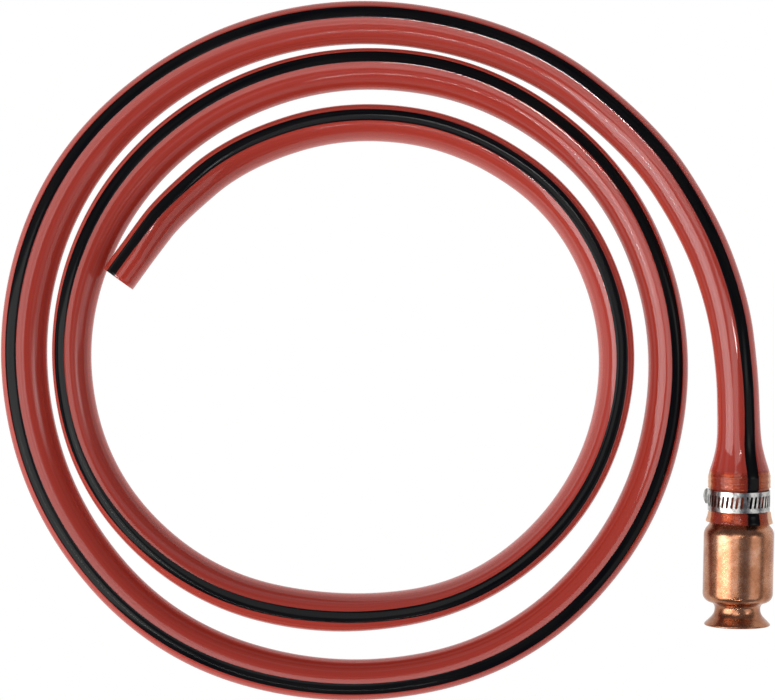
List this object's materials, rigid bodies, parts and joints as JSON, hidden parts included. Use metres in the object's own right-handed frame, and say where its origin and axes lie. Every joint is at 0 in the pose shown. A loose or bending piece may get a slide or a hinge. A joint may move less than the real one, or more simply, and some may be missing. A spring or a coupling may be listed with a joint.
{
  "type": "shaker siphon hose",
  "caption": "Self-priming shaker siphon: copper jiggle valve with a free ball inside, clamped into one end of a coiled translucent red hose with a black stripe.",
  "frame": {"origin": "on the surface the siphon lies on, under the middle of the bounding box of the valve, ball, stop pin, cuff and clamp (the free hose left out)", "axes": "+Z up, +Y from the valve's open mouth towards the hose, +X to the right of somebody who looks down along -Z with +Y up; the hose coils away towards -X and +Y"},
  "size_m": [0.3018, 0.2731, 0.0307],
  "materials": {
    "copper": "satin, spun and lightly brushed copper",
    "ball_glass": "polished",
    "red_pvc": "glossy, translucent",
    "stainless": "bright, fine grain along the band"
  },
  "bodies": {
    "siphon": {"valve_body": "copper", "ball_stop_pin": "copper", "hose": "red_pvc", "hose_cuff": "red_pvc", "clamp_housing": "stainless"},
    "ball": {"check_ball": "ball_glass"},
    "screw": {"clamp_screw": "stainless"},
    "band": {"clamp_band": "stainless"}
  },
  "joints": [
    {"name": "ball_lift", "type": "slide", "parent": "siphon", "child": "ball", "axis": [0, 0.9951, 0.0993], "range_m": [0, 0.0212]},
    {"name": "clamp_screw_turn", "type": "hinge", "parent": "siphon", "child": "screw", "pos_m": [-0.00491, 0.01089, 0.00421], "axis": [-0.9397, -0.034, 0.3403], "range_deg": [0, 720]},
    {"name": "clamp_band_draw", "type": "hinge", "parent": "siphon", "child": "band", "pos_m": [0, -0.03891, 0.01279], "axis": [0, -0.9951, -0.0993], "range_deg": [0, 18]}
  ],
  "couplings": [
    {"joint": "clamp_band_draw", "follows": "clamp_screw_turn", "ratio": 0.025}
  ]
}
